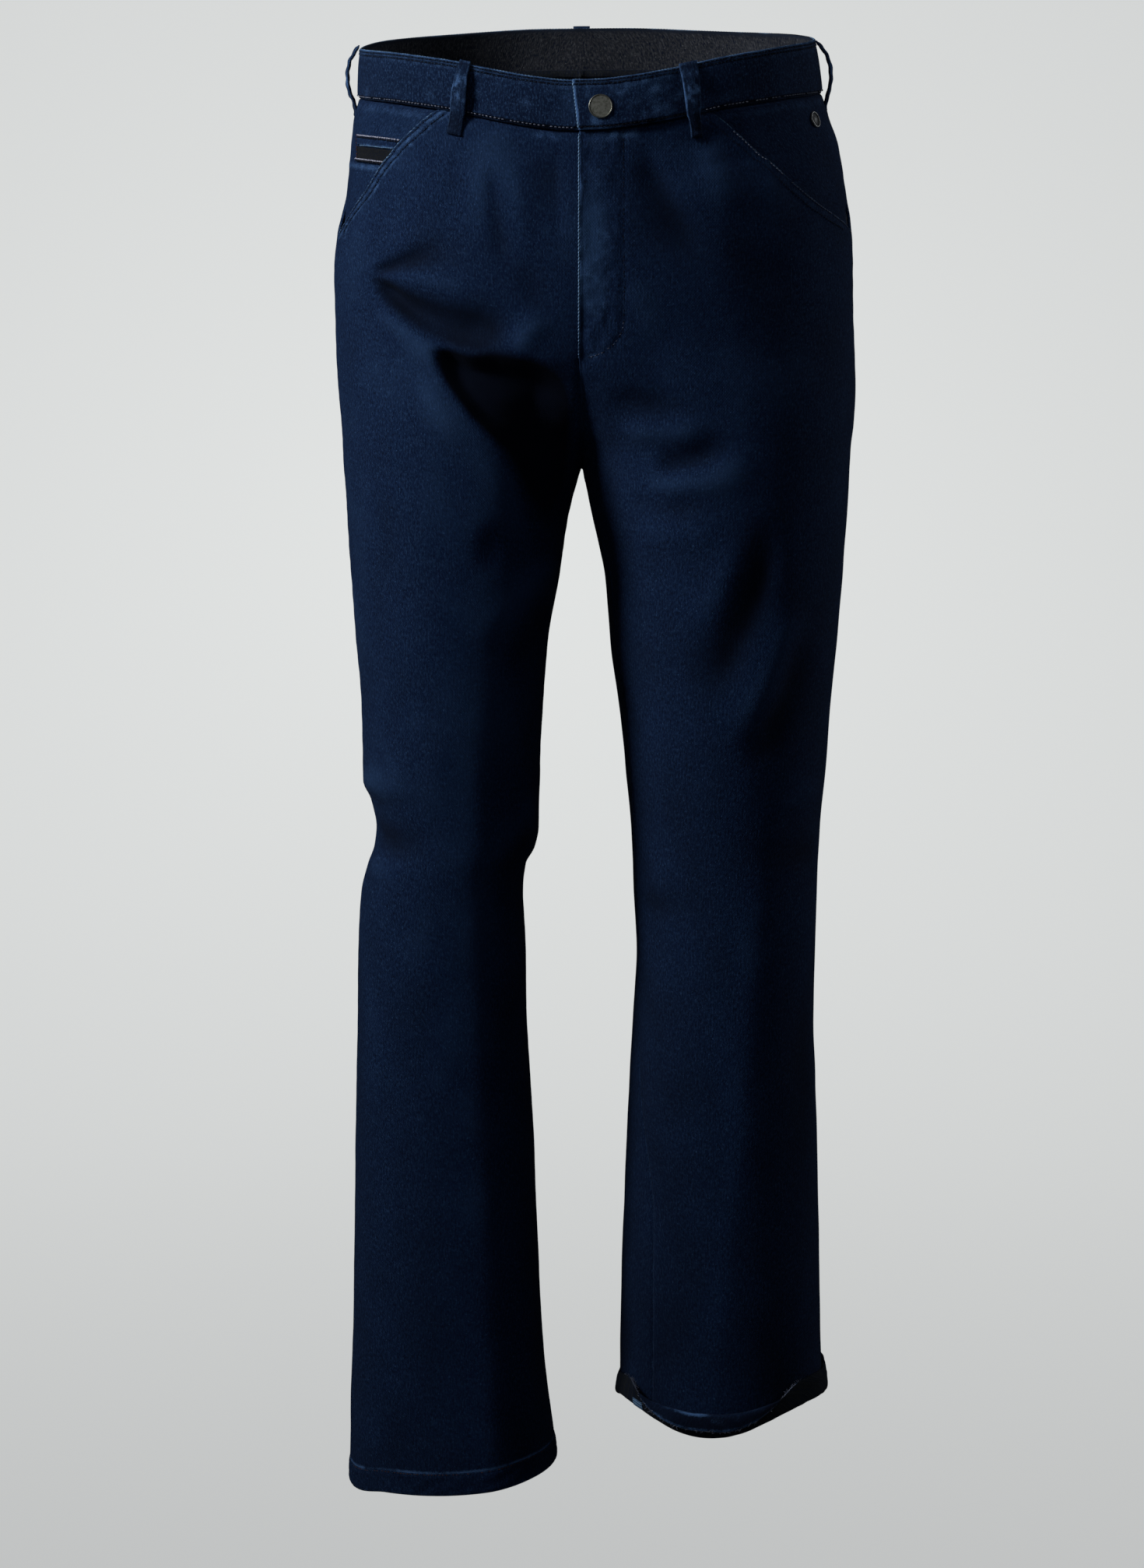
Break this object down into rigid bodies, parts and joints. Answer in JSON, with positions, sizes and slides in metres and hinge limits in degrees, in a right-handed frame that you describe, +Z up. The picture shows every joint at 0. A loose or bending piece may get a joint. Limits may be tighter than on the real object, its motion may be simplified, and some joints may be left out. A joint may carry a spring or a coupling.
{
  "type": "denim trousers",
  "caption": "Worn, hollow full-length denim trousers with waistband, belt loops, front fly, slanted front pockets, one plain hem and one turned-up hem.",
  "frame": {"origin": "centre of the waist opening, level with the top edge of the waistband over the hips", "axes": "+Z up, -Y out of the front, +X towards the wearer's left"},
  "size_m": [0.369, 0.2649, 1.0572],
  "materials": {
    "denim": "dark indigo stretch twill, matt, lighter at the worn edges",
    "denim_reverse": "charcoal inner face of the same twill",
    "coin_band": "plain dark woven band",
    "button_metal": "dull silver tack button, plain face",
    "rivet_metal": "dull grey stud, plain face"
  },
  "bodies": {
    "root": {"front_right": "denim", "front_left": "denim", "back_right": "denim", "back_left": "denim", "pocket_facing_right": "denim", "pocket_facing_left": "denim", "coin_pocket_welt": "denim", "coin_pocket_band": "coin_band", "waistband": "denim", "button": "button_metal", "pocket_rivet": "rivet_metal", "belt_loop_front_right": "denim", "belt_loop_front_left": "denim", "belt_loop_side_right": "denim", "belt_loop_side_left": "denim", "belt_loop_back": "denim", "cuff_left": "denim_reverse"}
  },
  "joints": []
}
